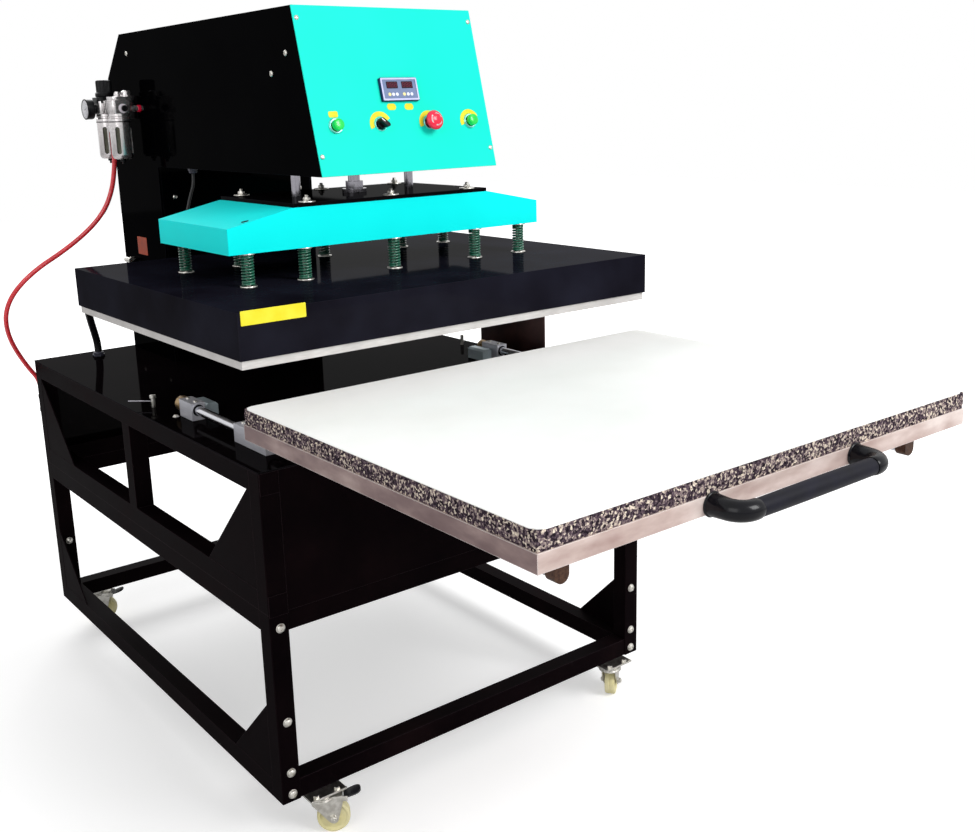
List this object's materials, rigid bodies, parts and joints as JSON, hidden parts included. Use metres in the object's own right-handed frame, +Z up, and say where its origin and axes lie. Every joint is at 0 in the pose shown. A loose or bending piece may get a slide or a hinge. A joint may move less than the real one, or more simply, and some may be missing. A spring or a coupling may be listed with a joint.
{
  "type": "pneumatic heat press",
  "caption": "Floor-standing pneumatic heat press: a sprung heated platen under an overhung head, above a pull-out padded drawer, on a wheeled steel stand.",
  "frame": {"origin": "middle of the machine's footprint on the floor, with the drawer pulled out and without its hose and cables", "axes": "+Z up; +Y from the operator to the back, the way the drawer slides in; +X to the operator's right"},
  "size_m": [1.0599, 2.1405, 1.589],
  "materials": {
    "black_frame": "black powder coat, satin",
    "black_housing": "black powder coat, fine texture",
    "turquoise": "turquoise enamel, gloss",
    "black_gloss": "black enamel, gloss",
    "zinc": "zinc plated",
    "polished_steel": "hard chromed and ground",
    "aluminium": "machined",
    "drawer_metal": "brushed",
    "table_trim": "plated",
    "spring_green": "green enamel",
    "strip_steel": "oxidised",
    "insulation": "fibre board",
    "speckled_pad": "speckled bonded sponge",
    "white_sheet": "white silicone-faced cloth",
    "black_plastic": "moulded",
    "gauge_face": "steel case, pale dial",
    "red_hose": "translucent red",
    "black_cable": "satin",
    "green_button": "moulded",
    "red_button": "moulded",
    "display_keys": "moulded",
    "caster_zinc": "bright zinc",
    "caster_tyre": "cream polyurethane",
    "pedal_black": "moulded"
  },
  "bodies": {
    "frame": {"stand_legs": "black_frame", "stand_rails": "black_frame", "corner_plates": "black_frame", "table_frame": "black_frame", "table_top": "black_frame", "front_panel": "black_frame", "fasteners": "zinc", "side_panels": "black_housing", "control_panel": "turquoise", "head_cover": "black_housing", "inner_plates": "black_housing", "cylinder_parts": "aluminium", "electrical_parts": "black_plastic", "controller": "black_plastic", "air_unit": "aluminium", "air_gauge": "gauge_face", "air_hose": "red_hose", "sensor_cable": "black_cable", "heater_cable": "black_cable", "table_fittings": "table_trim", "slide_blocks": "aluminium", "caster_plates": "zinc"},
    "press_head": {"press_rods": "polished_steel", "press_plate": "black_gloss", "press_beam": "turquoise", "press_bolts": "zinc"},
    "platen": {"platen_cover": "black_gloss", "heated_plate": "aluminium", "heater_strips": "strip_steel", "insulation_board": "insulation", "spring_bolts": "zinc", "press_springs": "spring_green"},
    "drawer": {"drawer_tray": "drawer_metal", "drawer_foam": "speckled_pad", "drawer_sheet": "white_sheet", "drawer_handle": "black_plastic", "drawer_runners": "polished_steel"},
    "start_left": {"start_button_left": "green_button"},
    "start_right": {"start_button_right": "green_button"},
    "mode": {"mode_knob": "black_plastic"},
    "stop": {"stop_button": "red_button"},
    "regulator": {"regulator_knob": "black_plastic"},
    "key_1": {"display_key_1": "display_keys"},
    "key_2": {"display_key_2": "display_keys"},
    "key_3": {"display_key_3": "display_keys"},
    "key_4": {"display_key_4": "display_keys"},
    "key_5": {"display_key_5": "display_keys"},
    "key_6": {"display_key_6": "display_keys"},
    "fork_front_left": {"caster_fork_front_left": "caster_zinc"},
    "wheel_front_left": {"caster_wheel_front_left": "caster_tyre"},
    "pedal_front_left": {"caster_pedal_front_left": "pedal_black"},
    "fork_front_right": {"caster_fork_front_right": "caster_zinc"},
    "wheel_front_right": {"caster_wheel_front_right": "caster_tyre"},
    "pedal_front_right": {"caster_pedal_front_right": "pedal_black"},
    "fork_rear_left": {"caster_fork_rear_left": "caster_zinc"},
    "wheel_rear_left": {"caster_wheel_rear_left": "caster_tyre"},
    "pedal_rear_left": {"caster_pedal_rear_left": "pedal_black"},
    "fork_rear_right": {"caster_fork_rear_right": "caster_zinc"},
    "wheel_rear_right": {"caster_wheel_rear_right": "caster_tyre"},
    "pedal_rear_right": {"caster_pedal_rear_right": "pedal_black"}
  },
  "joints": [
    {"name": "press_stroke", "type": "slide", "parent": "frame", "child": "press_head", "axis": [0, 0, -1], "range_m": [0, 0.0687], "deforming": ["sensor_cable", "heater_cable"]},
    {"name": "platen_float", "type": "slide", "parent": "press_head", "child": "platen", "axis": [0, 0, 1], "range_m": [0, 0.006], "stiffness_N_per_m": 40000, "springref_m": -0.02, "deforming": ["press_springs"]},
    {"name": "drawer_slide", "type": "slide", "parent": "frame", "child": "drawer", "axis": [0, 1, 0], "range_m": [0, 0.78]},
    {"name": "start_left_press", "type": "slide", "parent": "frame", "child": "start_left", "axis": [0, 0.968, -0.251], "range_m": [0, 0.004], "stiffness_N_per_m": 800, "springref_m": -0.002},
    {"name": "start_right_press", "type": "slide", "parent": "frame", "child": "start_right", "axis": [0, 0.968, -0.251], "range_m": [0, 0.004], "stiffness_N_per_m": 800, "springref_m": -0.002},
    {"name": "mode_turn", "type": "hinge", "parent": "frame", "child": "mode", "pos_m": [-0.06, -0.03541, 1.35936], "axis": [0, -0.968, 0.251], "range_deg": [-90, 0]},
    {"name": "stop_press", "type": "slide", "parent": "frame", "child": "stop", "axis": [0, 0.968, -0.251], "range_m": [0, 0.005]},
    {"name": "regulator_turn", "type": "hinge", "parent": "frame", "child": "regulator", "pos_m": [-0.273, 0.894, 1.45], "axis": [0, 0, 1], "range_deg": [-360, 720]},
    {"name": "key_1_press", "type": "slide", "parent": "frame", "child": "key_1", "axis": [0, 0.968, -0.251], "range_m": [0, 0.0006], "stiffness_N_per_m": 400, "springref_m": -0.0005},
    {"name": "key_2_press", "type": "slide", "parent": "frame", "child": "key_2", "axis": [0, 0.968, -0.251], "range_m": [0, 0.0006], "stiffness_N_per_m": 400, "springref_m": -0.0005},
    {"name": "key_3_press", "type": "slide", "parent": "frame", "child": "key_3", "axis": [0, 0.968, -0.251], "range_m": [0, 0.0006], "stiffness_N_per_m": 400, "springref_m": -0.0005},
    {"name": "key_4_press", "type": "slide", "parent": "frame", "child": "key_4", "axis": [0, 0.968, -0.251], "range_m": [0, 0.0006], "stiffness_N_per_m": 400, "springref_m": -0.0005},
    {"name": "key_5_press", "type": "slide", "parent": "frame", "child": "key_5", "axis": [0, 0.968, -0.251], "range_m": [0, 0.0006], "stiffness_N_per_m": 400, "springref_m": -0.0005},
    {"name": "key_6_press", "type": "slide", "parent": "frame", "child": "key_6", "axis": [0, 0.968, -0.251], "range_m": [0, 0.0006], "stiffness_N_per_m": 400, "springref_m": -0.0005},
    {"name": "swivel_front_left", "type": "hinge", "parent": "frame", "child": "fork_front_left", "pos_m": [-0.398, -0.228, 0.087], "axis": [0, 0, 1], "continuous": true},
    {"name": "wheel_spin_front_left", "type": "hinge", "parent": "fork_front_left", "child": "wheel_front_left", "pos_m": [-0.37895, -0.239, 0.033], "axis": [0.5, 0.866, 0], "continuous": true},
    {"name": "pedal_tilt_front_left", "type": "hinge", "parent": "fork_front_left", "child": "pedal_front_left", "pos_m": [-0.3573, -0.2515, 0.076], "axis": [0.5, 0.866, 0], "range_deg": [0, 18]},
    {"name": "swivel_front_right", "type": "hinge", "parent": "frame", "child": "fork_front_right", "pos_m": [0.398, -0.228, 0.087], "axis": [0, 0, 1], "continuous": true},
    {"name": "wheel_spin_front_right", "type": "hinge", "parent": "fork_front_right", "child": "wheel_front_right", "pos_m": [0.41557, -0.21476, 0.033], "axis": [-0.6018, 0.7986, 0], "continuous": true},
    {"name": "pedal_tilt_front_right", "type": "hinge", "parent": "fork_front_right", "child": "pedal_front_right", "pos_m": [0.43554, -0.19972, 0.076], "axis": [-0.6018, 0.7986, 0], "range_deg": [0, 18]},
    {"name": "swivel_rear_left", "type": "hinge", "parent": "frame", "child": "fork_rear_left", "pos_m": [-0.398, 1.028, 0.087], "axis": [0, 0, 1], "continuous": true},
    {"name": "wheel_spin_rear_left", "type": "hinge", "parent": "fork_rear_left", "child": "wheel_rear_left", "pos_m": [-0.37895, 1.017, 0.033], "axis": [0.5, 0.866, 0], "continuous": true},
    {"name": "pedal_tilt_rear_left", "type": "hinge", "parent": "fork_rear_left", "child": "pedal_rear_left", "pos_m": [-0.3573, 1.0045, 0.076], "axis": [0.5, 0.866, 0], "range_deg": [0, 18]},
    {"name": "swivel_rear_right", "type": "hinge", "parent": "frame", "child": "fork_rear_right", "pos_m": [0.398, 1.028, 0.087], "axis": [0, 0, 1], "continuous": true},
    {"name": "wheel_spin_rear_right", "type": "hinge", "parent": "fork_rear_right", "child": "wheel_rear_right", "pos_m": [0.41867, 1.02048, 0.033], "axis": [0.342, 0.9397, 0], "continuous": true},
    {"name": "pedal_tilt_rear_right", "type": "hinge", "parent": "fork_rear_right", "child": "pedal_rear_right", "pos_m": [0.44217, 1.01192, 0.076], "axis": [0.342, 0.9397, 0], "range_deg": [0, 18]}
  ]
}
